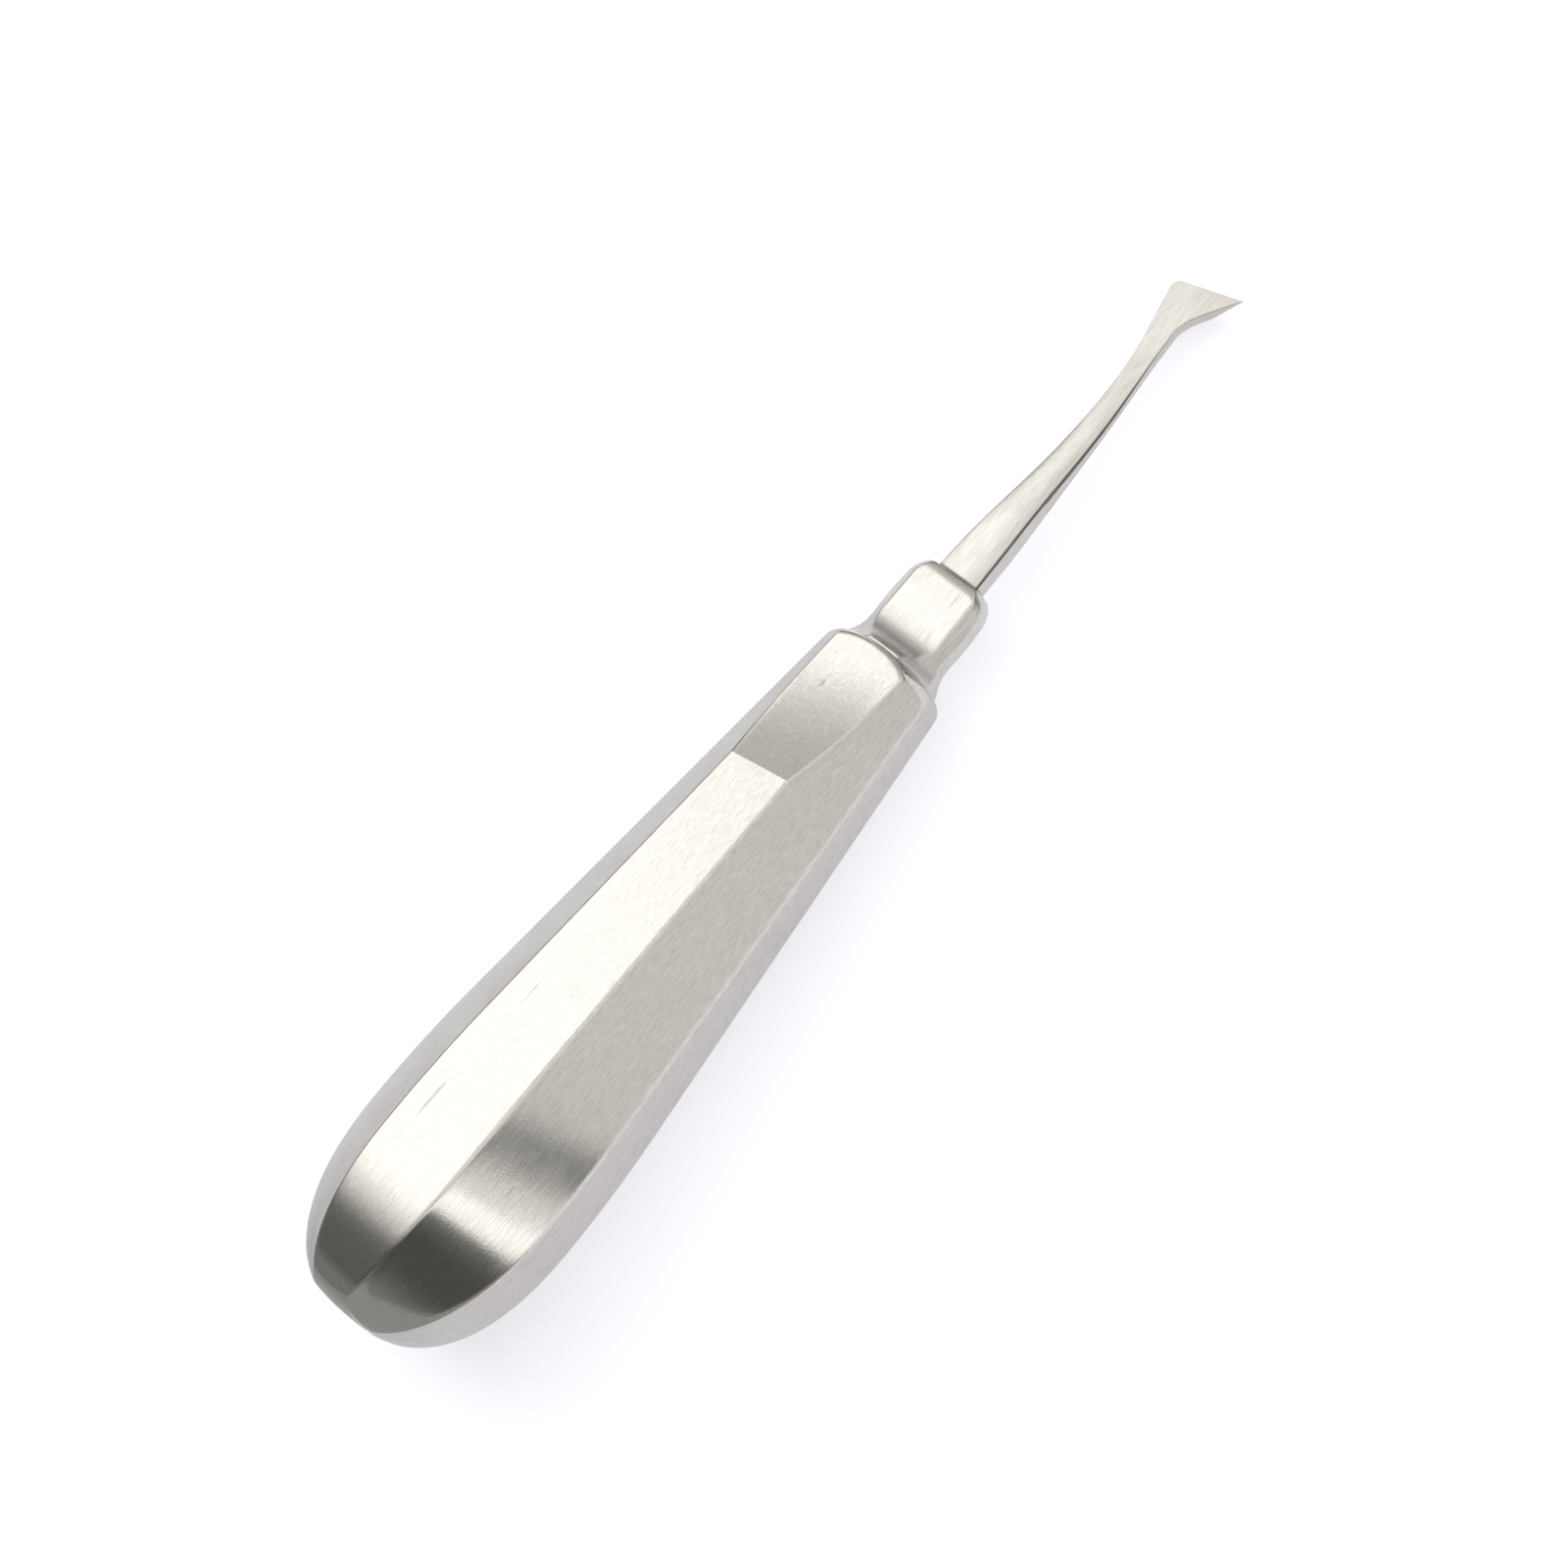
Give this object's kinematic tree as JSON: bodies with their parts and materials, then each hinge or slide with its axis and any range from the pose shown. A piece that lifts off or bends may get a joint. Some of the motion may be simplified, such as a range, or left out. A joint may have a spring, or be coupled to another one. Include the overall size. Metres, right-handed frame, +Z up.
{
  "type": "dental elevator",
  "caption": "Straight-shank dental elevator with a faceted hollow pear handle, a short ferrule and a small triangular flag blade, for loosening tooth roots.",
  "frame": {"origin": "on the table under the middle of the overall length, on the handle's centre plane", "axes": "+X from the butt of the handle to the blade, +Y to the left seen from the butt, +Z up from the table the elevator lies on"},
  "size_m": [0.1513, 0.0272, 0.0298],
  "materials": {
    "handle": "satin polished stainless steel with fine grinding lines along the length",
    "working_end": "satin polished stainless steel"
  },
  "bodies": {
    "root": {"handle": "handle", "working_end": "working_end"}
  },
  "joints": []
}
